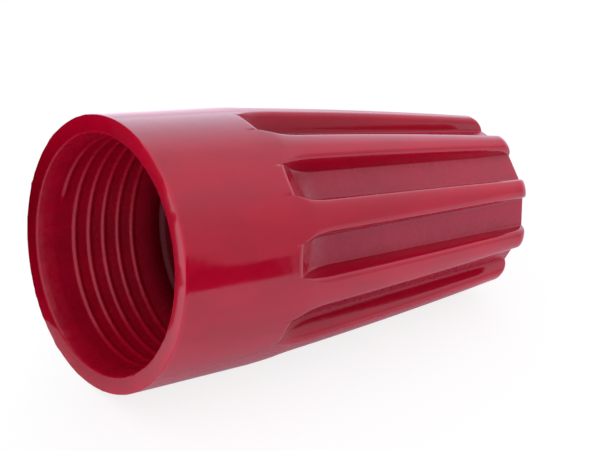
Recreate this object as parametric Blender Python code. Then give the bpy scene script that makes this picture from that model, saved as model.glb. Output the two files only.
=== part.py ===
"""Twist-on wire connector, 28.4 mm long: a one-piece moulded shell and a conical coil spring.

Metres, +Z up. The barrel's axis is the Y axis, the origin is the centre of the closed end's flat
face, and the open mouth faces -Y. Each piece is modelled from the mouth up its own +Z, and one
shared empty lays it along +Y.
"""

import math

import bmesh
import bpy
from mathutils import Matrix, Vector

MM = 0.001

# Shell, outside
LENGTH = 28.4 * MM
RIM_RADIUS = 7.9 * MM
SKIRT_HEIGHT = 9.3 * MM
SKIRT_RADIUS = 7.51 * MM
SHOULDER_HEIGHT = 27.4 * MM
SHOULDER_RADIUS = 5.51 * MM
SHOULDER_ROUND = LENGTH - SHOULDER_HEIGHT
SHOULDER_STEPS = 3
ROUND_STEPS = 60

# Flutes between the ribs: a straight ramp off the skirt, a fillet, then a flat floor that sinks
RIB_COUNT = 10
RIB_PITCH = math.tau / RIB_COUNT
RAMP_TOP = 8.27 * MM
RAMP_ANGLE = math.radians(37)
RAMP_FILLET = 4.5 * MM
RAMP_TOP_WIDTH = 1.95 * MM
FLOOR_WIDTH = 1.73 * MM
FLOOR_START = 11.5 * MM
FLOOR_START_RADIUS = 5.97 * MM
FLOOR_END_RADIUS = 4.45 * MM
WALL_START_ANGLE = math.radians(21)
WALL_END_ANGLE = math.radians(15)
FLUTE_OVERSHOOT = 0.3 * MM
FILLET_STEPS = 4
FLOOR_STEPS = 3

# Mouth bore, lead-in thread and the lip that holds the spring in
MOUTH_RADIUS = 6.85 * MM
BORE_START = 1.1 * MM
BORE_END = 8.6 * MM
BORE_RADIUS = 6.65 * MM
LIP_START = 9.3 * MM
LIP_END = 9.6 * MM
LIP_RADIUS = 4.85 * MM
THREAD_PITCH = 1.02 * MM
THREAD_TURNS = 5.5
THREAD_START = 1.54 * MM
THREAD_START_ANGLE = math.radians(-183)
THREAD_CREST_RADIUS = 6.38 * MM
THREAD_CREST_WIDTH = 0.16 * MM
THREAD_FOOT_WIDTH = 0.48 * MM
THREAD_ROOT_DEPTH = 0.12 * MM
THREAD_STEPS = 36

# Coil spring: square wire set corner inwards
WIRE_SIDE = 0.85 * MM
WIRE_REACH = WIRE_SIDE / math.sqrt(2)
COIL_TURNS = 11
COIL_PITCH = 1.35 * MM
COIL_STEPS = 24
COIL_START = 10.3 * MM
COIL_END = COIL_START + COIL_TURNS * COIL_PITCH
COIL_START_RADIUS = 4.35 * MM
COIL_END_RADIUS = 2.5 * MM
CLEARANCE = 0.3 * MM

# Spring pocket, which follows the coil
POCKET_START = LIP_END + 0.2 * MM
POCKET_FLOOR = COIL_END + WIRE_REACH + CLEARANCE
POCKET_TAPER = (COIL_START_RADIUS - COIL_END_RADIUS) / (COIL_END - COIL_START)


def mix(start, end, part):
    return start + (end - start) * part


def clear_scene():
    for item in list(bpy.data.objects):
        bpy.data.objects.remove(item, do_unlink=True)


def make_material(name, colour, roughness, metallic):
    material = bpy.data.materials.new(name)
    material.use_nodes = True
    shader = material.node_tree.nodes["Principled BSDF"]
    shader.inputs["Base Color"].default_value = (*colour, 1)
    shader.inputs["Roughness"].default_value = roughness
    shader.inputs["Metallic"].default_value = metallic
    return material


def add_object(name, data, parent, material=None):
    item = bpy.data.objects.new(name, data)
    bpy.context.scene.collection.objects.link(item)
    item.parent = parent
    if material is None:
        item.hide_render = True
        item.display_type = "WIRE"
    else:
        data.materials.append(material)
    return item


def finish_mesh(bm, name):
    bmesh.ops.recalc_face_normals(bm, faces=bm.faces)
    mesh = bpy.data.meshes.new(name)
    bm.to_mesh(mesh)
    bm.free()
    return mesh


def turned_mesh(name, profile):
    """A solid of revolution about Z from (radius, height) points whose two ends lie on the axis."""
    bm = bmesh.new()
    verts = [bm.verts.new((radius, 0, height)) for radius, height in profile]
    edges = [bm.edges.new(pair) for pair in zip(verts, verts[1:])]
    bmesh.ops.spin(bm, geom=verts + edges, cent=(0, 0, 0), axis=(0, 0, 1), angle=math.tau,
                   steps=ROUND_STEPS, use_merge=True)
    bmesh.ops.remove_doubles(bm, verts=bm.verts, dist=MM / 1000)
    return finish_mesh(bm, name)


def add_boolean(item, tool, operation):
    modifier = item.modifiers.new(tool.name, "BOOLEAN")
    modifier.operation = operation
    modifier.object = tool


def envelope_radius(height):
    """Radius over the ribs, before the shoulder rounds off."""
    if height < SKIRT_HEIGHT:
        return mix(RIM_RADIUS, SKIRT_RADIUS, height / SKIRT_HEIGHT)
    part = (height - SKIRT_HEIGHT) / (SHOULDER_HEIGHT - SKIRT_HEIGHT)
    return mix(SKIRT_RADIUS, SHOULDER_RADIUS, part)


def outside_profile():
    profile = [(0, 0), (RIM_RADIUS, 0), (SKIRT_RADIUS, SKIRT_HEIGHT)]
    for step in range(SHOULDER_STEPS + 1):
        turn = math.pi / 2 * step / SHOULDER_STEPS
        radius = SHOULDER_RADIUS - SHOULDER_ROUND * (1 - math.cos(turn))
        profile.append((radius, SHOULDER_HEIGHT + SHOULDER_ROUND * math.sin(turn)))
    profile.append((0, LENGTH))
    return profile


def cavity_profile():
    """Mouth bore, lip and spring pocket as one core, from below the rim to the pocket's floor."""
    def pocket_radius(height):
        return (COIL_START_RADIUS - POCKET_TAPER * (height - COIL_START)
                + WIRE_REACH + CLEARANCE)

    return [
        (0, -MM),
        (MOUTH_RADIUS, -MM),
        (MOUTH_RADIUS, 0),
        (BORE_RADIUS, BORE_START),
        (BORE_RADIUS, BORE_END),
        (LIP_RADIUS, LIP_START),
        (LIP_RADIUS, LIP_END),
        (pocket_radius(POCKET_START), POCKET_START),
        (pocket_radius(POCKET_FLOOR), POCKET_FLOOR),
        (0, POCKET_FLOOR),
    ]


def thread_mesh():
    """One helical ridge, swept from a trapezoid whose foot is sunk in the bore wall."""
    bm = bmesh.new()
    foot = BORE_RADIUS + THREAD_ROOT_DEPTH
    half_foot = THREAD_FOOT_WIDTH / 2
    half_crest = THREAD_CREST_WIDTH / 2
    corners = [(foot, -half_foot), (foot, half_foot),
               (THREAD_CREST_RADIUS, half_crest), (THREAD_CREST_RADIUS, -half_crest)]
    turn = Matrix.Rotation(THREAD_START_ANGLE, 4, "Z")
    verts = [bm.verts.new(turn @ Vector((radius, 0, THREAD_START + height)))
             for radius, height in corners]
    section = bm.faces.new(verts)
    bmesh.ops.spin(bm, geom=[section], cent=(0, 0, 0), axis=(0, 0, 1),
                   dvec=(0, 0, THREAD_PITCH / THREAD_STEPS), angle=math.tau * THREAD_TURNS,
                   steps=round(THREAD_TURNS * THREAD_STEPS))
    return finish_mesh(bm, "lead_in_thread")


def flute_stations():
    """(height, floor radius) along a flute: the ramp from above the skirt, the fillet, the floor."""
    slope = math.atan2(FLOOR_START_RADIUS - FLOOR_END_RADIUS, LENGTH - FLOOR_START)
    fillet = []
    for step in range(FILLET_STEPS + 1):
        turn = mix(RAMP_ANGLE, slope, step / FILLET_STEPS)
        fillet.append((FLOOR_START - RAMP_FILLET * (math.sin(turn) - math.sin(slope)),
                       FLOOR_START_RADIUS + RAMP_FILLET * (math.cos(slope) - math.cos(turn))))
    foot_height, foot_radius = fillet[0]
    top_height = RAMP_TOP - FLUTE_OVERSHOOT
    top_radius = foot_radius + (foot_height - top_height) * math.tan(RAMP_ANGLE)
    floor = []
    for step in range(1, FLOOR_STEPS + 1):
        part = step / FLOOR_STEPS
        floor.append((mix(FLOOR_START, LENGTH + FLUTE_OVERSHOOT, part),
                      mix(FLOOR_START_RADIUS, FLOOR_END_RADIUS, part)))
    return [(top_height, top_radius), *fillet, *floor]


def flute_section(height, floor):
    """Corners of a flute's cross-section, with the floor at a right angle to +X."""
    sunk = max(0, (height - FLOOR_START) / (LENGTH - FLOOR_START))
    climbed = max(0, (FLOOR_START - height) / (FLOOR_START - RAMP_TOP))
    wall = mix(WALL_START_ANGLE, WALL_END_ANGLE, sunk)
    half_floor = mix(FLOOR_WIDTH, RAMP_TOP_WIDTH, climbed) / 2
    outer = max(envelope_radius(height), floor) + FLUTE_OVERSHOOT
    half_outer = half_floor + (outer - floor) * math.tan(wall)
    return [Vector((floor, -half_floor, height)), Vector((floor, half_floor, height)),
            Vector((outer, half_outer, height)), Vector((outer, -half_outer, height))]


def loft(bm, sections):
    """Joins rings of corners into one closed skin."""
    rings = []
    for section in sections:
        verts = [bm.verts.new(corner) for corner in section]
        rings.append([bm.edges.new(pair) for pair in zip(verts, verts[1:] + verts[:1])])
    for lower, upper in zip(rings, rings[1:]):
        bmesh.ops.bridge_loops(bm, edges=lower + upper)
    bmesh.ops.contextual_create(bm, geom=rings[0])
    bmesh.ops.contextual_create(bm, geom=rings[-1])


def flutes_mesh():
    """All the flute cutters, spaced round the axis half a rib pitch off the ribs."""
    bm = bmesh.new()
    sections = [flute_section(height, floor) for height, floor in flute_stations()]
    for index in range(RIB_COUNT):
        turn = Matrix.Rotation((index + 0.5) * RIB_PITCH, 4, "Z")
        loft(bm, [[turn @ corner for corner in section] for section in sections])
    return finish_mesh(bm, "flute_cutters")


def build_shell(axis):
    red = make_material("red_plastic", (0.42, 0.012, 0.02), 0.3, 0)
    shell = add_object("shell", turned_mesh("shell", outside_profile()), axis, red)
    cavity = add_object("cavity_core", turned_mesh("cavity_core", cavity_profile()), axis)
    thread = add_object("lead_in_thread", thread_mesh(), axis)
    flutes = add_object("flute_cutters", flutes_mesh(), axis)
    add_boolean(shell, cavity, "DIFFERENCE")
    add_boolean(shell, flutes, "DIFFERENCE")
    add_boolean(shell, thread, "UNION")
    shell.data.shade_smooth()
    shell.data.set_sharp_from_angle(angle=math.radians(25))


def build_spring(axis):
    """A conical coil of square wire: each point steps round the axis, up it and in towards it."""
    steel = make_material("zinc_plated_steel", (0.62, 0.63, 0.64), 0.32, 1)
    coil = bpy.data.curves.new("coil_spring", "CURVE")
    coil.dimensions = "3D"
    coil.twist_mode = "Z_UP"
    coil.bevel_depth = WIRE_REACH
    coil.bevel_resolution = 0
    coil.use_fill_caps = True
    wire = coil.splines.new("POLY")
    count = COIL_TURNS * COIL_STEPS
    wire.points.add(count)
    for index, point in enumerate(wire.points):
        part = index / count
        angle = math.tau * COIL_TURNS * part
        radius = mix(COIL_START_RADIUS, COIL_END_RADIUS, part)
        height = mix(COIL_START, COIL_END, part)
        point.co = (radius * math.cos(angle), radius * math.sin(angle), height, 1)
    add_object("coil_spring", coil, axis, steel)


def build_connector():
    clear_scene()
    axis = bpy.data.objects.new("barrel_axis", None)
    bpy.context.scene.collection.objects.link(axis)
    axis.location = (0, -LENGTH, 0)
    axis.rotation_euler = (-math.pi / 2, 0, 0)
    build_shell(axis)
    build_spring(axis)


build_connector()
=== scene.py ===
"""Looks of the twist-on wire connector: a fine moulded shell, its coil spring and soft daylight.

Metres, in the CAD frame: the barrel's axis is Y, the closed end's flat face is at y = 0 and the
open mouth faces -Y. Heights below run from the mouth's rim up the barrel, and angles run round the
Y axis from +X towards +Z.
"""

import math
import random

import bpy
import numpy as np
from mathutils import Matrix, Vector


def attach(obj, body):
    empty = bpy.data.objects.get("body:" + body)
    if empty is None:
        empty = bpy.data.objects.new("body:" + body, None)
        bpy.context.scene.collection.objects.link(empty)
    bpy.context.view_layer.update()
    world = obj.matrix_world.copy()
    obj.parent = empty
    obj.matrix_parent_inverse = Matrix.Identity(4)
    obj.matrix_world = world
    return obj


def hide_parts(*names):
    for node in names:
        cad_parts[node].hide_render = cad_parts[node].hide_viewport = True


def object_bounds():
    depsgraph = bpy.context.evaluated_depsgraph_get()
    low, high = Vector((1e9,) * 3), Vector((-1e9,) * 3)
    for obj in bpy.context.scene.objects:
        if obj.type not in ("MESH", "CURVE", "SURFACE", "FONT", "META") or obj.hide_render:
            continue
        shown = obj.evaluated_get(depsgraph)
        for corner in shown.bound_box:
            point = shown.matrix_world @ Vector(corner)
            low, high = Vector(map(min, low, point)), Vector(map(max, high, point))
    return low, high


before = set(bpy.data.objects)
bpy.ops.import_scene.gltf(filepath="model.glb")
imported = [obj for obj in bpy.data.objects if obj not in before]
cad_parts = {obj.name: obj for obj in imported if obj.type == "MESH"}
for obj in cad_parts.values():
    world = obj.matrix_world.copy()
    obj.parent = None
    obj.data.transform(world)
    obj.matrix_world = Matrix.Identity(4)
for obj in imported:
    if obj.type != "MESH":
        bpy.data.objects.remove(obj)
CAD_LOW, CAD_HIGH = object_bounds()

MM = 0.001
MOUTH_Y = CAD_LOW.y
LENGTH = CAD_HIGH.y - CAD_LOW.y
RIM_RADIUS = CAD_HIGH.x

# Shell, outside: the same sizes as the CAD shell, with the moulded rounds added
SKIRT_HEIGHT = 9.3 * MM
SKIRT_RADIUS = 7.51 * MM
SHOULDER_ROUND = 1.0 * MM
SHOULDER_HEIGHT = LENGTH - SHOULDER_ROUND
SHOULDER_RADIUS = 5.51 * MM
RIM_EDGE = 0.08 * MM
RIM_FLASH = 0.03 * MM
NICK_COUNT = 60
RIB_COUNT = 10
RIB_PITCH = math.tau / RIB_COUNT
RIB_EDGE_ROUND = 0.36 * MM
RIB_CROWN = 0.04 * MM
RIB_BULGE = 0.1 * MM

# Flutes: a straight ramp off the skirt, a fillet, then a flat floor that sinks towards the end
FLUTE_FLOOR_WIDTH = 1.73 * MM
FLUTE_END_WIDTH = 1.95 * MM
FLUTE_FLOOR_START = 11.5 * MM
FLUTE_START_RADIUS = 5.97 * MM
FLUTE_END_RADIUS = 4.45 * MM
FLUTE_WALL_START = math.radians(23)
FLUTE_WALL_END = math.radians(15)
RAMP_ANGLE = math.radians(37)
RAMP_FILLET = 4.5 * MM
RAMP_TOP = 8.27 * MM
TEXTURE_START = 9.85 * MM
TEXTURE_CORNER = 0.45 * MM
CROWN_FULL = 10.5 * MM
EDGE_BLEND = 0.14 * MM
FLOOR_CORNER = 0.08 * MM
THINNEST_WALL = 0.002 * MM
FLOOR_SLOPE = math.atan2(FLUTE_START_RADIUS - FLUTE_END_RADIUS, LENGTH - FLUTE_FLOOR_START)

# Shell, inside
MOUTH_RADIUS = 6.85 * MM
MOUTH_EDGE = 0.14 * MM
MOUTH_NICK = 0.35
BORE_START = 1.1 * MM
BORE_END = 8.6 * MM
BORE_RADIUS = 6.65 * MM
LIP_START = 9.3 * MM
LIP_END = 9.6 * MM
LIP_RADIUS = 4.85 * MM
THREAD_PITCH = 1.02 * MM
THREAD_TURNS = 5.5
THREAD_START = 1.54 * MM
THREAD_START_ANGLE = math.radians(183)
THREAD_DEPTH = 0.12 * MM
THREAD_WIDTH = 0.52 * MM
THREAD_RUN_IN = math.radians(6)
THREAD_RUN_OUT = math.radians(100)
THREAD_BEST_ANGLE = math.radians(205)
THREAD_WEAR = 0.28

# Points along half a flute, and where the rings of points lie
FLOOR_POINTS = 5
CORNER_POINTS = 2
WALL_POINTS = 4
ROUND_POINTS = 5
CREST_POINTS = 6
END_RINGS = (0.08, 0.2, 0.35, 0.5, 0.65, 0.8, 0.9, 0.97)
RAMP_ROWS_TOP = RAMP_TOP + 0.4 * MM
RAMP_ROWS_FOOT = RAMP_TOP - 0.24 * MM
SKIRT_ROWS = (7.9 * MM, 7.5 * MM, 6.5 * MM, 5.0 * MM, 3.0 * MM, 1.0 * MM, 0.3 * MM)

# Painted shade and painted light: shares of colour and highlight that painted shade takes away
# and painted light gives back
FLUTE_DEPTH = 1.2 * MM
FLUTE_PAINTED_SHADE = 0.17
RIB_PAINTED_LIGHT = 0.14
RIM_PAINTED_LIGHT = 0.24
RIM_BAND = 0.25 * MM
MOUTH_PAINTED_SHADING = 0.06
BORE_PAINTED_SHADING = -0.12
BORE_FADE = 5 * MM
DEEP_PAINTED_SHADE = 0.85
DEEP_START = 6.8 * MM
DEEP_FADE = 2 * MM

# Coil spring
WIRE_SIDE = 0.85 * MM
WIRE_REACH = WIRE_SIDE / math.sqrt(2)
WIRE_CORNER = 0.13 * MM
COIL_TURNS = 11
COIL_STEPS = 72
COIL_PITCH = 1.35 * MM
COIL_START = 10.3 * MM
COIL_END = COIL_START + COIL_TURNS * COIL_PITCH
COIL_START_RADIUS = 4.35 * MM
COIL_END_RADIUS = 2.5 * MM
CLEARANCE = 0.3 * MM
POCKET_START = LIP_END + 0.2 * MM
POCKET_FLOOR = COIL_END + WIRE_REACH + CLEARANCE
POCKET_TAPER = (COIL_START_RADIUS - COIL_END_RADIUS) / (COIL_END - COIL_START)

# Raised marks and the gate scar on the closed end
MARK_HEIGHT = 0.2 * MM
MARK_SINK = 0.1 * MM
MARK_RADIUS = 3 * MM
MARK_WIDE = 0.62 * MM
MARK_DEEP = 0.95 * MM
MARK_DRAFT = 0.06 * MM
MARK_BEVEL = 0.04 * MM
SCAR_STEPS = 22
SCAR_RINGS = ((0.62, -0.1), (0.55, 0.05), (0.42, 0.15), (0.22, 0.1))

# Colours, linear
RED = (0.37, 0.001, 0.018)
FLOOR_RED = (0.35, 0.001, 0.026)
# Painted light: the inside is the same plastic as the outside, painted a lighter red
INSIDE_PAINTED_LIGHT_RED = (0.43, 0.0009, 0.023)
TORN_RED = (0.36, 0.01, 0.02, 1)
TORN_PALE = (0.75, 0.42, 0.42, 1)
ZINC_LIGHT = (0.5, 0.49, 0.5, 1)
ZINC_DARK = (0.38, 0.37, 0.38, 1)

# Stage: headings are an azimuth and an elevation in degrees, from the barrel's middle
MIDDLE = Vector((0, MOUTH_Y + LENGTH / 2, 0))
BENCH_HALF = 1.5
BENCH_GAP = 0.01 * MM
BENCH_BRIGHT_SIDE = (-47, 0)
CARD_AZIMUTH = 130
CARD_DISTANCE = 47 * MM
CARD_OUTLINE = ((-40, -7), (-7.3, -7), (-7.3, 7.8), (-11.2, 7.2), (-12.5, 9), (-13.1, 11),
                (-13.6, 20), (-40, 20))
NEIGHBOUR_X = -13 * MM
NEIGHBOUR_Y = -33.6 * MM
NEIGHBOUR_STEPS = 48
WINDOW = (-128, 5)
WINDOW_LIGHT = 1.8
ROOM_CORNER = (133, 10)
ROOM_CORNER_LOSS = -0.45
CAMERA = (46.76, 25.68)
CAMERA_DISTANCE = 129.7 * MM
CAMERA_ROLL = math.radians(13.63)
CAMERA_LENS = 130


def mix(start, end, part):
    return start + (end - start) * part


def smooth_step(value):
    part = np.clip(value, 0, 1)
    return part * part * (3 - 2 * part)


def soft_min(first, second, width):
    """The smaller of two values, with the corner where they cross rounded over a width."""
    overlap = max(width - abs(first - second), 0) / width
    return min(first, second) - overlap * overlap * width / 4


def add_object(name, mesh, materials):
    item = bpy.data.objects.new(name, mesh)
    bpy.context.scene.collection.objects.link(item)
    for material in materials:
        mesh.materials.append(material)
    return item


# ---------------------------------------------------------------- shell surface

def envelope_radius(height):
    """Radius over the ribs, before the shoulder rounds off."""
    if height < SKIRT_HEIGHT:
        return mix(RIM_RADIUS, SKIRT_RADIUS, height / SKIRT_HEIGHT)
    part = min((height - SKIRT_HEIGHT) / (SHOULDER_HEIGHT - SKIRT_HEIGHT), 1)
    return mix(SKIRT_RADIUS, SHOULDER_RADIUS, part) + RIB_BULGE * 4 * part * (1 - part)


def crest_radius(height):
    if height <= SHOULDER_HEIGHT:
        return envelope_radius(height)
    rise = min((height - SHOULDER_HEIGHT) / SHOULDER_ROUND, 1)
    return SHOULDER_RADIUS - SHOULDER_ROUND * (1 - math.sqrt(1 - rise * rise))


def ramp_radius(height):
    """Distance from the axis to a flute's floor: flat, then the fillet, then the straight ramp."""
    if height >= FLUTE_FLOOR_START:
        part = (height - FLUTE_FLOOR_START) / (LENGTH - FLUTE_FLOOR_START)
        return mix(FLUTE_START_RADIUS, FLUTE_END_RADIUS, part)
    climb = math.sin(FLOOR_SLOPE) + (FLUTE_FLOOR_START - height) / RAMP_FILLET
    if climb < math.sin(RAMP_ANGLE):
        slope = math.asin(climb)
        return FLUTE_START_RADIUS + RAMP_FILLET * (math.cos(FLOOR_SLOPE) - math.cos(slope))
    foot = FLUTE_FLOOR_START - RAMP_FILLET * (math.sin(RAMP_ANGLE) - math.sin(FLOOR_SLOPE))
    rise = RAMP_FILLET * (math.cos(FLOOR_SLOPE) - math.cos(RAMP_ANGLE))
    return FLUTE_START_RADIUS + rise + (foot - height) * math.tan(RAMP_ANGLE)


def floor_half_width(height):
    part = (height - RAMP_TOP) / (FLUTE_FLOOR_START - RAMP_TOP)
    return mix(FLUTE_END_WIDTH, FLUTE_FLOOR_WIDTH, min(max(part, 0), 1)) / 2


def wall_angle(height):
    part = (height - FLUTE_FLOOR_START) / (LENGTH - FLUTE_FLOOR_START)
    return mix(FLUTE_WALL_START, FLUTE_WALL_END, min(max(part, 0), 1))


def rib_crown(height):
    """How far a rib's two edges lie below its middle: its top is crowned, but not on the skirt."""
    return RIB_CROWN * smooth_step((height - RAMP_TOP) / (CROWN_FULL - RAMP_TOP))


def half_flute(height):
    """(tangential, radial) points from a flute's mid-line to the middle of the next rib."""
    crest = crest_radius(height)
    half = floor_half_width(height)
    lean = wall_angle(height)
    cut = ramp_radius(height)
    edge = math.sqrt(crest * crest - half * half)
    floor = soft_min(cut, edge, EDGE_BLEND)
    depth = max(edge - floor, THINNEST_WALL)
    floor = edge - depth
    along = np.array([math.sin(lean), math.cos(lean)])
    into_rib = np.array([math.cos(lean), -math.sin(lean)])
    corner = np.array([half, floor])

    # The floor, and the concave corner between it and the wall
    small = min(FLOOR_CORNER, depth * 0.25)
    reach = small / math.tan((math.pi / 2 + lean) / 2)
    hub = corner + np.array([-reach, small])
    points = []
    for step in range(FLOOR_POINTS + 1):
        across = (half - reach) * step / FLOOR_POINTS
        surface = math.sqrt(crest * crest - across * across)
        points.append([across, soft_min(cut, surface, EDGE_BLEND)])
    for step in range(1, CORNER_POINTS + 1):
        turn = -math.pi / 2 + (math.pi / 2 - lean) * step / CORNER_POINTS
        points.append(hub + small * np.array([math.cos(turn), math.sin(turn)]))

    # The small round between the wall and the rib's crowned top
    drop = min(rib_crown(height), depth * 0.4)
    large = min(RIB_EDGE_ROUND, depth * 0.4)
    crown_width = crest * (RIB_PITCH / 2) - (half + (depth - drop) * math.tan(lean))
    tilt = math.atan2(2 * drop, crown_width)
    start = corner + large * into_rib
    half_b = start @ along
    gap = start @ start - (crest - drop - large * math.cos(tilt)) ** 2
    lift = -half_b + math.sqrt(max(half_b * half_b - gap, 0))
    centre = start + lift * along
    wall_top = centre - large * into_rib
    wall_foot = points[-1]
    for step in range(1, WALL_POINTS + 1):
        points.append(mix(wall_foot, wall_top, step / WALL_POINTS))
    first = math.atan2(-into_rib[1], -into_rib[0])
    last = math.atan2(centre[1], centre[0]) + tilt
    for step in range(1, ROUND_POINTS + 1):
        turn = mix(first, last, step / ROUND_POINTS)
        points.append(centre + large * np.array([math.cos(turn), math.sin(turn)]))

    # The rib's top, rising to its middle
    edge = math.atan2(points[-1][0], points[-1][1])
    drop = crest - np.hypot(*points[-1])
    for step in range(1, CREST_POINTS + 1):
        turn = mix(edge, RIB_PITCH / 2, step / CREST_POINTS)
        radius = crest - drop * (1 - step / CREST_POINTS) ** 2
        points.append(radius * np.array([math.sin(turn), math.cos(turn)]))
    return np.array(points)


def ring_outside(height):
    """(angle, radius) of one full ring of the outside, flute by flute, at a height."""
    half = half_flute(height)
    angles = np.arctan2(half[:, 0], half[:, 1])
    radii = np.hypot(half[:, 0], half[:, 1])
    flute_angles = np.concatenate([-angles[:0:-1], angles[:-1]])
    flute_radii = np.concatenate([radii[:0:-1], radii[:-1]])
    turns = [flute_angles + (index + 0.5) * RIB_PITCH for index in range(RIB_COUNT)]
    return np.concatenate(turns), np.tile(flute_radii, RIB_COUNT)


def thread_height(angles, height):
    """How far the lead-in thread stands in from the bore wall, at each angle and one height."""
    turned = (THREAD_START_ANGLE - angles) % math.tau
    ridge = np.zeros_like(angles)
    for index in range(math.ceil(THREAD_TURNS) + 1):
        swept = turned + index * math.tau
        centre = THREAD_START + THREAD_PITCH * swept / math.tau
        away = np.clip(np.abs(height - centre) / (THREAD_WIDTH / 2), 0, 1)
        rounded = np.cos(away * math.pi / 2) ** 2
        fade = smooth_step(swept / THREAD_RUN_IN)
        fade = fade * smooth_step((THREAD_TURNS * math.tau - swept) / THREAD_RUN_OUT)
        ridge = np.maximum(ridge, rounded * fade)
    worn = 1 - THREAD_WEAR + THREAD_WEAR * np.cos(angles - THREAD_BEST_ANGLE)
    return THREAD_DEPTH * worn * ridge


def spaced(start, end, steps):
    """Evenly spaced values, both ends included."""
    return [mix(start, end, step / steps) for step in range(steps + 1)]


def edge_nicks(angles):
    """A little unevenness round the rim's edges, as mould flash leaves: 0 to 1 at each angle."""
    source = random.Random(4)
    nicks = np.zeros_like(angles)
    for _ in range(NICK_COUNT):
        middle = source.uniform(0, math.tau)
        width = math.radians(source.uniform(1, 4))
        away = np.abs((angles - middle + math.pi) % math.tau - math.pi)
        nicks = np.maximum(nicks, source.uniform(0.1, 1) * smooth_step(1 - away / width))
    return nicks


def build_shell_rings():
    """Rings of (angle, radius, height) points, from the closed end's middle round to the pocket,
    and whether each ring is inside the mouth."""
    rings = []
    insides = []

    def add(angles, radii, height, inside):
        rings.append((angles, radii, np.broadcast_to(height, angles.shape)))
        insides.append(inside)

    top_angles, top_radii = ring_outside(LENGTH)
    for part in END_RINGS:
        add(top_angles, top_radii * part, LENGTH, False)
    for turn in spaced(math.pi / 2, 0, 12):
        height = SHOULDER_HEIGHT + SHOULDER_ROUND * math.sin(turn)
        add(*ring_outside(height), height, False)
    for height in spaced(SHOULDER_HEIGHT, FLUTE_FLOOR_START, 30)[1:]:
        add(*ring_outside(height), height, False)
    for height in spaced(FLUTE_FLOOR_START, RAMP_ROWS_TOP, 22)[1:]:
        add(*ring_outside(height), height, False)
    for height in spaced(RAMP_ROWS_TOP, RAMP_ROWS_FOOT, 20)[1:]:
        add(*ring_outside(height), height, False)
    angles, _ = ring_outside(RAMP_ROWS_FOOT)
    flat = np.ones_like(angles)
    nicks = edge_nicks(angles)
    for height in SKIRT_ROWS:
        add(angles, flat * envelope_radius(height), height, False)
    for turn in spaced(0, math.pi / 2, 6):
        flash = RIM_FLASH * nicks * math.sin(2 * turn) ** 2
        add(angles, RIM_RADIUS - RIM_EDGE * (1 - math.cos(turn)) + flash,
            RIM_EDGE * (1 - math.sin(turn)) - flash, False)
    for turn in spaced(0, math.pi / 2, 4):
        edge = MOUTH_EDGE * (1 + MOUTH_NICK * nicks)
        add(angles, MOUTH_RADIUS + edge * (1 - math.sin(turn)), edge * (1 - math.cos(turn)), True)
    for height in spaced(0.3 * MM, BORE_START, 3):
        part = height / BORE_START
        add(angles, flat * mix(MOUTH_RADIUS, BORE_RADIUS, part), height, True)
    for height in spaced(BORE_START, BORE_END, 150)[1:]:
        add(angles, BORE_RADIUS - thread_height(angles, height), height, True)
    for height in spaced(BORE_END, LIP_START, 4)[1:]:
        part = (height - BORE_END) / (LIP_START - BORE_END)
        add(angles, flat * mix(BORE_RADIUS, LIP_RADIUS, part), height, True)
    add(angles, flat * LIP_RADIUS, LIP_END, True)
    for height in spaced(POCKET_START, POCKET_FLOOR, 8):
        pocket = COIL_START_RADIUS - POCKET_TAPER * (height - COIL_START) + WIRE_REACH + CLEARANCE
        add(angles, flat * pocket, height, True)
    for part in (0.7, 0.4, 0.1):
        add(angles, flat * pocket * part, POCKET_FLOOR, True)
    return rings, insides


def painted_shading_amounts(radii, heights, outside, count):
    """Painted shade and painted light at each point: how much colour and highlight is taken away
    as painted shade, more down in the flutes and deep inside, and less, or given back as painted
    light, on the ribs, the rim and halfway up the bore. The last two points, the middles of the
    closed end and of the pocket's floor, keep theirs."""
    painted_shading = np.zeros(count)
    depths = heights[outside:]
    bore = smooth_step((depths - BORE_START) / BORE_FADE)
    deep = smooth_step((depths - DEEP_START) / DEEP_FADE)
    # Painted shade at the mouth and deep inside, painted light halfway up the bore
    painted_shading[outside:count - 2] = mix(MOUTH_PAINTED_SHADING, BORE_PAINTED_SHADING, bore) + DEEP_PAINTED_SHADE * deep
    # Painted shade down in the flutes, painted light on the ribs and the rim
    for index in range(outside):
        sunk = (crest_radius(heights[index]) - radii[index]) / FLUTE_DEPTH
        raised = smooth_step((heights[index] - SKIRT_HEIGHT) / (LENGTH / 2))
        rim = smooth_step(1 - heights[index] / RIM_BAND)
        painted_shading[index] = (FLUTE_PAINTED_SHADE * min(max(sunk, 0), 1)
                          - max(RIB_PAINTED_LIGHT * raised, RIM_PAINTED_LIGHT * rim))
    return painted_shading


GLOSS, TEXTURED, INSIDE = 0, 1, 2


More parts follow.
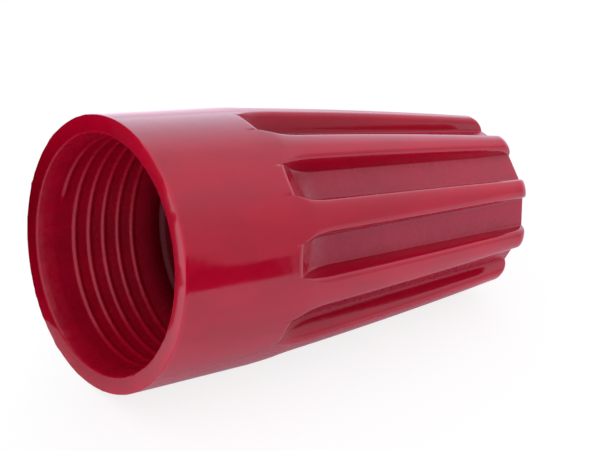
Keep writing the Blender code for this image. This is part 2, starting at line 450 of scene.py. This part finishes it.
def build_shell(materials):
    rings, insides = build_shell_rings()
    count = len(rings[0][0])
    angles = np.concatenate([ring[0] for ring in rings])
    radii = np.concatenate([ring[1] for ring in rings])
    heights = np.concatenate([ring[2] for ring in rings])
    points = np.stack([radii * np.cos(angles), heights + MOUTH_Y, radii * np.sin(angles)], axis=1)
    faces = []
    slots = []
    half = FLOOR_POINTS + CORNER_POINTS + WALL_POINTS + ROUND_POINTS + CREST_POINTS
    period = 2 * half
    for row in range(len(rings) - 1):
        low, high = row * count, (row + 1) * count
        height = max(rings[row][2][0], rings[row + 1][2][0])
        for column in range(count):
            after = (column + 1) % count
            faces.append((low + column, low + after, high + after, high + column))
            # Columns between this face and the nearest flute's mid-line
            across = abs(column % period + 0.5 - half)
            start = TEXTURE_START + TEXTURE_CORNER * min(across / FLOOR_POINTS, 1) ** 2
            if insides[row]:
                slots.append(INSIDE)
            elif row < len(END_RINGS) or (across < FLOOR_POINTS + 1 and height > start):
                slots.append(TEXTURED)
            else:
                slots.append(GLOSS)
    top = len(points)
    points = np.vstack([points, [[0, MOUTH_Y + LENGTH, 0], [0, MOUTH_Y + POCKET_FLOOR, 0]]])
    last = (len(rings) - 1) * count
    for column in range(count):
        after = (column + 1) % count
        faces.append((top, after, column))
        slots.append(TEXTURED)
        faces.append((last + column, last + after, top + 1))
        slots.append(INSIDE)
    mesh = bpy.data.meshes.new("moulded_shell")
    mesh.from_pydata(points.tolist(), [], faces)
    mesh.polygons.foreach_set("material_index", slots)
    outside = sum(len(ring[0]) for ring, inside in zip(rings, insides) if not inside)
    # Painted shade and painted light, kept at each point for the materials
    painted_shading = mesh.attributes.new("painted_shading", "FLOAT", "POINT")
    painted_shading.data.foreach_set("value", painted_shading_amounts(radii, heights, outside, len(points)))
    mesh.shade_smooth()
    shell = add_object("moulded_shell", mesh, materials)
    weights = shell.modifiers.new("face_weighted_normals", "WEIGHTED_NORMAL")
    weights.keep_sharp = True
    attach(shell, "shell")
    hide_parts("shell")


# ---------------------------------------------------------------- coil spring

def wire_section():
    """(radial, axial) points round the square wire, one corner towards the axis."""
    points = []
    shift = WIRE_REACH - WIRE_CORNER * math.sqrt(2)
    for corner in range(4):
        middle = math.pi / 2 * corner
        for step in (-45, -15, 15, 45):
            turn = middle + math.radians(step)
            points.append((shift * math.cos(middle) + WIRE_CORNER * math.cos(turn),
                           shift * math.sin(middle) + WIRE_CORNER * math.sin(turn)))
    return points


def build_spring(material):
    section = wire_section()
    size = len(section)
    count = COIL_TURNS * COIL_STEPS
    points = []
    for index in range(count + 1):
        part = index / count
        angle = -math.tau * COIL_TURNS * part
        radius = mix(COIL_START_RADIUS, COIL_END_RADIUS, part)
        height = mix(COIL_START, COIL_END, part)
        for outward, upward in section:
            reach = radius + outward
            along = MOUTH_Y + height + upward
            points.append((reach * math.cos(angle), along, reach * math.sin(angle)))
    faces = []
    for index in range(count):
        low, high = index * size, (index + 1) * size
        for side in range(size):
            after = (side + 1) % size
            faces.append((low + side, high + side, high + after, low + after))
    faces.append(tuple(range(size)))
    faces.append(tuple(reversed(range(count * size, (count + 1) * size))))
    mesh = bpy.data.meshes.new("square_wire_coil")
    mesh.from_pydata(points, [], faces)
    mesh.shade_smooth()
    mesh.set_sharp_from_angle(angle=math.radians(40))
    coil = add_object("square_wire_coil", mesh, [material])
    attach(coil, "spring")
    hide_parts("coil_spring")


# ---------------------------------------------------------------- marks on the closed end

def pad_mark(points, faces, centre, turn):
    """A raised rectangular pad, turned about the barrel's axis, with drafted sides."""
    base = len(points)
    for height, inset in ((-MARK_SINK, 0), (MARK_HEIGHT, MARK_DRAFT)):
        for across, out in ((-1, -1), (1, -1), (1, 1), (-1, 1)):
            x = across * (MARK_WIDE / 2 - inset)
            z = out * (MARK_DEEP / 2 - inset)
            points.append((centre[0] + x * math.cos(turn) - z * math.sin(turn), height,
                           centre[1] + x * math.sin(turn) + z * math.cos(turn)))
    faces.append((base + 3, base + 2, base + 1, base))
    faces.append((base + 4, base + 5, base + 6, base + 7))
    for side in range(4):
        after = (side + 1) % 4
        faces.append((base + side, base + after, base + 4 + after, base + 4 + side))


def build_marks(material):
    """Plain raised pads, evenly spaced round the closed end, one in line with each flute."""
    points = []
    faces = []
    for index in range(RIB_COUNT):
        angle = RIB_PITCH * (index + 0.5)
        centre = (MARK_RADIUS * math.cos(angle), MARK_RADIUS * math.sin(angle))
        pad_mark(points, faces, centre, angle - math.pi / 2)
    mesh = bpy.data.meshes.new("closed_end_marks")
    mesh.from_pydata(points, [], faces)
    marks = add_object("closed_end_marks", mesh, [material])
    bevel = marks.modifiers.new("soft_edges", "BEVEL")
    bevel.width = MARK_BEVEL
    bevel.segments = 2
    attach(marks, "shell")


def build_gate_scar(material):
    """The small torn nub left where the plastic was fed in, at the middle of the closed end."""
    source = random.Random(7)
    points = []
    for radius, height in SCAR_RINGS:
        for step in range(SCAR_STEPS):
            turn = math.tau * step / SCAR_STEPS
            reach = (radius + source.uniform(-0.04, 0.04)) * MM
            lift = (height + (source.uniform(-0.05, 0.05) if height > 0 else 0)) * MM
            points.append((reach * math.cos(turn), lift, reach * math.sin(turn)))
    last = (len(SCAR_RINGS) - 1) * SCAR_STEPS
    faces = [tuple(range(SCAR_STEPS)), tuple(reversed(range(last, last + SCAR_STEPS)))]
    for ring in range(len(SCAR_RINGS) - 1):
        for step in range(SCAR_STEPS):
            after = (step + 1) % SCAR_STEPS
            low, high = ring * SCAR_STEPS, (ring + 1) * SCAR_STEPS
            faces.append((low + step, high + step, high + after, low + after))
    mesh = bpy.data.meshes.new("gate_scar")
    mesh.from_pydata(points, [], faces)
    scar = add_object("gate_scar", mesh, [material])
    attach(scar, "shell")


# ---------------------------------------------------------------- node helpers

def feed(tree, socket, value):
    """Links a socket into an input, or sets the input's own value."""
    if isinstance(value, bpy.types.NodeSocket):
        tree.links.new(value, socket)
    else:
        socket.default_value = value


def math_node(tree, operation, *values):
    node = tree.nodes.new("ShaderNodeMath")
    node.operation = operation
    for socket, value in zip(node.inputs, values):
        feed(tree, socket, value)
    return node.outputs["Value"]


def ramp_node(tree, value, low, high, start, end, smooth=True):
    """Runs from start to end as the value goes from low to high, and stays there outside."""
    node = tree.nodes.new("ShaderNodeMapRange")
    node.interpolation_type = "SMOOTHSTEP" if smooth else "LINEAR"
    feed(tree, node.inputs["Value"], value)
    node.inputs["From Min"].default_value = low
    node.inputs["From Max"].default_value = high
    node.inputs["To Min"].default_value = start
    node.inputs["To Max"].default_value = end
    return node.outputs["Result"]


def noise_node(tree, place, size, detail=2, stretch=None):
    """Noise whose lumps are about this many metres across."""
    if stretch:
        scaling = tree.nodes.new("ShaderNodeVectorMath")
        scaling.operation = "MULTIPLY"
        tree.links.new(place, scaling.inputs[0])
        scaling.inputs[1].default_value = stretch
        place = scaling.outputs["Vector"]
    node = tree.nodes.new("ShaderNodeTexNoise")
    tree.links.new(place, node.inputs["Vector"])
    node.inputs["Scale"].default_value = 1 / size
    node.inputs["Detail"].default_value = detail
    return node.outputs["Fac"]


def mix_colour(tree, part, first, second):
    node = tree.nodes.new("ShaderNodeMix")
    node.data_type = "RGBA"
    feed(tree, node.inputs["Factor"], part)
    feed(tree, node.inputs["A"], first)
    feed(tree, node.inputs["B"], second)
    return node.outputs["Result"]


def bump_node(tree, height, distance, strength, normal=None):
    node = tree.nodes.new("ShaderNodeBump")
    node.inputs["Strength"].default_value = strength
    node.inputs["Distance"].default_value = distance
    tree.links.new(height, node.inputs["Height"])
    if normal:
        tree.links.new(normal, node.inputs["Normal"])
    return node.outputs["Normal"]


def start_material(name):
    material = bpy.data.materials.new(name)
    material.use_nodes = True
    tree = material.node_tree
    place = tree.nodes.new("ShaderNodeTexCoord").outputs["Object"]
    return material, tree, place, tree.nodes["Principled BSDF"]


# ---------------------------------------------------------------- materials

def plastic(name, colour, roughness, grain, grain_size):
    """Moulded PVC-like red: a faint orange peel, grain of a given depth, and slight streaks. Its
    painted shading attribute takes away colour and highlight as painted shade, and adds them as
    painted light."""
    material, tree, place, shader = start_material(name)
    flow = noise_node(tree, place, 1.6 * MM, 3, (1, 0.35, 1))
    dull = [channel * 0.86 for channel in colour]
    tint = mix_colour(tree, ramp_node(tree, flow, 0.3, 0.7, 0, 1), (*colour, 1), (*dull, 1))
    # Painted shade and painted light: the share left scales both the colour and the highlight
    painted_shading = tree.nodes.new("ShaderNodeAttribute")
    painted_shading.attribute_name = "painted_shading"
    kept = tree.nodes.new("ShaderNodeVectorMath")
    kept.operation = "SCALE"
    tree.links.new(tint, kept.inputs[0])
    share = math_node(tree, "SUBTRACT", 1, painted_shading.outputs["Fac"])
    tree.links.new(share, kept.inputs["Scale"])
    tree.links.new(math_node(tree, "MULTIPLY", share, 0.5), shader.inputs["Specular IOR Level"])
    grit = noise_node(tree, place, grain_size, 2)
    tree.links.new(kept.outputs["Vector"], shader.inputs["Base Color"])
    rough = ramp_node(tree, noise_node(tree, place, 0.5 * MM, 4), 0.3, 0.7, roughness * 0.85,
                      roughness * 1.2)
    tree.links.new(rough, shader.inputs["Roughness"])
    peel = bump_node(tree, noise_node(tree, place, 0.9 * MM, 1), 0.02 * MM, 0.25)
    tree.links.new(bump_node(tree, grit, grain, 1, peel), shader.inputs["Normal"])
    shader.inputs["IOR"].default_value = 1.5
    shader.inputs["Subsurface Weight"].default_value = 0.03
    shader.inputs["Subsurface Radius"].default_value = (1, 0.12, 0.1)
    shader.inputs["Subsurface Scale"].default_value = 0.4 * MM
    return material


def torn_plastic():
    """The rough break of the gate: red with pale flecks."""
    material, tree, place, shader = start_material("torn_red")
    flecks = noise_node(tree, place, 0.16 * MM, 3)
    tint = mix_colour(tree, ramp_node(tree, flecks, 0.4, 0.62, 0, 1), TORN_RED, TORN_PALE)
    tree.links.new(tint, shader.inputs["Base Color"])
    shader.inputs["Roughness"].default_value = 0.7
    tree.links.new(bump_node(tree, flecks, 0.05 * MM, 1), shader.inputs["Normal"])
    return material


def zinc_steel():
    """Drawn square wire with a thin zinc plating: grey, a little cloudy, with fine draw lines."""
    material, tree, place, shader = start_material("zinc_plated_wire")
    cloud = noise_node(tree, place, 0.9 * MM, 4)
    tint = mix_colour(tree, ramp_node(tree, cloud, 0.3, 0.7, 0, 1), ZINC_LIGHT, ZINC_DARK)
    tree.links.new(tint, shader.inputs["Base Color"])
    shader.inputs["Metallic"].default_value = 1
    lines = noise_node(tree, place, 0.05 * MM, 2, (0.3, 1, 0.3))
    tree.links.new(ramp_node(tree, lines, 0.3, 0.7, 0.38, 0.55), shader.inputs["Roughness"])
    tree.links.new(bump_node(tree, lines, 0.006 * MM, 0.8), shader.inputs["Normal"])
    return material


# ---------------------------------------------------------------- stage

def heading(azimuth, elevation):
    """A direction in the frame: azimuth 0 is -Y and 90 is +X."""
    turn, rise = math.radians(azimuth), math.radians(elevation)
    level = math.cos(rise)
    return Vector((math.sin(turn) * level, -math.cos(turn) * level, math.sin(rise)))


def bench_lean():
    """The tapered barrel rests on its rim and two rib ends, so the bench leans under it."""
    rib_foot = SHOULDER_RADIUS * math.cos(RIB_PITCH / 2)
    return math.atan2(RIM_RADIUS - rib_foot, SHOULDER_HEIGHT)


def bench_z(y):
    return -RIM_RADIUS - BENCH_GAP + math.tan(bench_lean()) * (y - MOUTH_Y)


def bench_material():
    """White. The camera sees a soft shadow on it that fades out towards the bright side. The light
    that reaches the object comes from paper with a painted glow, painted light that is a little
    stronger on the bright side."""
    material = bpy.data.materials.new("white_bench")
    material.use_nodes = True
    tree = material.node_tree
    tree.nodes.remove(tree.nodes["Principled BSDF"])
    place = tree.nodes.new("ShaderNodeTexCoord").outputs["Object"]
    forward = tree.nodes.new("ShaderNodeVectorMath")
    forward.operation = "DOT_PRODUCT"
    tree.links.new(place, forward.inputs[0])
    forward.inputs[1].default_value = heading(*BENCH_BRIGHT_SIDE)
    paper = tree.nodes.new("ShaderNodeBsdfDiffuse")
    paper.inputs["Color"].default_value = (0.97, 0.88, 1, 1)
    # Painted light: a glow on the paper, stronger on the bright side, stands in for daylight
    # falling there
    painted_glow = tree.nodes.new("ShaderNodeEmission")
    painted_glow.inputs["Color"].default_value = (1, 0.95, 1.1, 1)
    tree.links.new(ramp_node(tree, forward.outputs["Value"], -5 * MM, 12 * MM, 0.05, 0.42),
                   painted_glow.inputs["Strength"])
    lit = tree.nodes.new("ShaderNodeAddShader")
    tree.links.new(paper.outputs["BSDF"], lit.inputs[0])
    tree.links.new(painted_glow.outputs["Emission"], lit.inputs[1])
    seen = tree.nodes.new("ShaderNodeBsdfDiffuse")
    seen.inputs["Color"].default_value = (0.22, 0.22, 0.22, 1)
    glow = tree.nodes.new("ShaderNodeEmission")
    glow.inputs["Strength"].default_value = 0.81
    both = tree.nodes.new("ShaderNodeAddShader")
    tree.links.new(seen.outputs["BSDF"], both.inputs[0])
    tree.links.new(glow.outputs["Emission"], both.inputs[1])
    white = tree.nodes.new("ShaderNodeEmission")
    fade = tree.nodes.new("ShaderNodeMixShader")
    tree.links.new(ramp_node(tree, forward.outputs["Value"], -3 * MM, 4 * MM, 0, 1),
                   fade.inputs["Fac"])
    tree.links.new(both.outputs["Shader"], fade.inputs[1])
    tree.links.new(white.outputs["Emission"], fade.inputs[2])
    choose = tree.nodes.new("ShaderNodeMixShader")
    tree.links.new(tree.nodes.new("ShaderNodeLightPath").outputs["Is Camera Ray"],
                   choose.inputs["Fac"])
    tree.links.new(lit.outputs["Shader"], choose.inputs[1])
    tree.links.new(fade.outputs["Shader"], choose.inputs[2])
    tree.links.new(choose.outputs["Shader"], tree.nodes["Material Output"].inputs["Surface"])
    return material


def build_bench():
    mesh = bpy.data.meshes.new("bench")
    points = [(BENCH_HALF * across, BENCH_HALF * along, 0)
              for across, along in ((-1, -1), (1, -1), (1, 1), (-1, 1))]
    mesh.from_pydata(points, [], [(0, 1, 2, 3)])
    bench = add_object("bench", mesh, [bench_material()])
    bench.rotation_euler = (bench_lean(), 0, 0)
    bench.location = (0, MOUTH_Y, bench_z(MOUTH_Y))


def build_card():
    """An upright black card to the right of the object as the camera sees it, which shows only in
    reflections. Its outline is in millimetres, across the card and up."""
    middle = heading(CARD_AZIMUTH, 0) * CARD_DISTANCE + MIDDLE
    across = heading(CARD_AZIMUTH + 90, 0)
    points = [middle + across * (side * MM) + Vector((0, 0, up * MM)) for side, up in CARD_OUTLINE]
    mesh = bpy.data.meshes.new("dark_card")
    mesh.from_pydata(points, [], [tuple(range(len(points)))])
    material = bpy.data.materials.new("dark_card")
    material.use_nodes = True
    shader = material.node_tree.nodes["Principled BSDF"]
    shader.inputs["Base Color"].default_value = (0, 0, 0, 1)
    shader.inputs["Roughness"].default_value = 0.9
    shader.inputs["Specular IOR Level"].default_value = 0
    card = add_object("dark_card", mesh, [material])
    card.visible_camera = False
    card.visible_diffuse = False
    card.visible_shadow = False


def build_neighbour(material):
    """A plain tapered post of the same plastic, standing on the bench before the mouth. It is
    hidden from the camera, and the rim reflects it."""
    steps = NEIGHBOUR_STEPS
    lean = bench_lean()
    upward = Vector((0, -math.sin(lean), math.cos(lean)))
    forward = Vector((0, math.cos(lean), math.sin(lean)))
    foot = Vector((NEIGHBOUR_X, NEIGHBOUR_Y, bench_z(NEIGHBOUR_Y)))
    profile = ((RIM_RADIUS, 0), (SKIRT_RADIUS, SKIRT_HEIGHT), (SHOULDER_RADIUS, LENGTH))
    points = []
    for radius, height in profile:
        for step in range(steps):
            turn = math.tau * step / steps
            side = Vector((math.cos(turn), 0, 0)) + forward * math.sin(turn)
            points.append(foot + side * radius + upward * height)
    faces = [tuple(reversed(range(steps))), tuple(range(2 * steps, 3 * steps))]
    for ring in range(2):
        for step in range(steps):
            after = (step + 1) % steps
            low, high = ring * steps, (ring + 1) * steps
            faces.append((low + step, low + after, high + after, high + step))
    mesh = bpy.data.meshes.new("neighbour")
    mesh.from_pydata(points, [], faces)
    neighbour = add_object("neighbour", mesh, [material])
    neighbour.visible_camera = False


def build_world():
    """White behind the object. Its light comes evenly from all round, and its reflections show a
    bright window behind on the left and a dim corner of the room on the right, a little warm."""
    world = bpy.data.worlds.new("daylight")
    bpy.context.scene.world = world
    world.use_nodes = True
    tree = world.node_tree
    direction = tree.nodes.new("ShaderNodeTexCoord").outputs["Generated"]
    rays = tree.nodes.new("ShaderNodeLightPath").outputs

    def facing(way):
        node = tree.nodes.new("ShaderNodeVectorMath")
        node.operation = "DOT_PRODUCT"
        tree.links.new(direction, node.inputs[0])
        node.inputs[1].default_value = heading(*way)
        return node.outputs["Value"]

    window = ramp_node(tree, facing(WINDOW), 0.7, 1, 1.0, WINDOW_LIGHT, False)
    corner = ramp_node(tree, facing(ROOM_CORNER), 0.75, 1, 0, ROOM_CORNER_LOSS, False)
    warmth = mix_colour(tree, ramp_node(tree, facing(WINDOW), 0.6, 0.97, 0, 1), (1.7, 1, 1.2, 1),
                        (0.9, 1, 1.2, 1))
    tint = tree.nodes.new("ShaderNodeVectorMath")
    tint.operation = "SCALE"
    tree.links.new(warmth, tint.inputs[0])
    tree.links.new(math_node(tree, "ADD", window, corner), tint.inputs["Scale"])
    level = mix_colour(tree, rays["Is Glossy Ray"], (1.05, 1, 1.06, 1), tint.outputs["Vector"])
    sky = tree.nodes["Background"]
    tree.links.new(mix_colour(tree, rays["Is Camera Ray"], level, (1, 1, 1, 1)),
                   sky.inputs["Color"])


def build_camera():
    data = bpy.data.cameras.new("camera")
    camera = bpy.data.objects.new("camera", data)
    bpy.context.scene.collection.objects.link(camera)
    back = heading(*CAMERA)
    camera.location = MIDDLE + back * CAMERA_DISTANCE
    roll = Matrix.Rotation(CAMERA_ROLL, 4, "Z").to_quaternion()
    camera.rotation_mode = "QUATERNION"
    camera.rotation_quaternion = back.to_track_quat("Z", "Y") @ roll
    data.lens = CAMERA_LENS
    data.clip_start = 1 * MM
    data.clip_end = 10
    bpy.context.scene.camera = camera


gloss = plastic("gloss_red", RED, 0.1, 0.0012 * MM, 0.12 * MM)
textured = plastic("spark_textured_red", FLOOR_RED, 0.29, 0.009 * MM, 0.1 * MM)
inside = plastic("inside_red_painted_lighter", INSIDE_PAINTED_LIGHT_RED, 0.27, 0.002 * MM, 0.12 * MM)
build_shell([gloss, textured, inside])
build_spring(zinc_steel())
build_marks(gloss)
build_gate_scar(torn_plastic())

build_bench()
build_card()
build_neighbour(gloss)
build_world()
build_camera()
bpy.context.scene.view_settings.view_transform = "Standard"
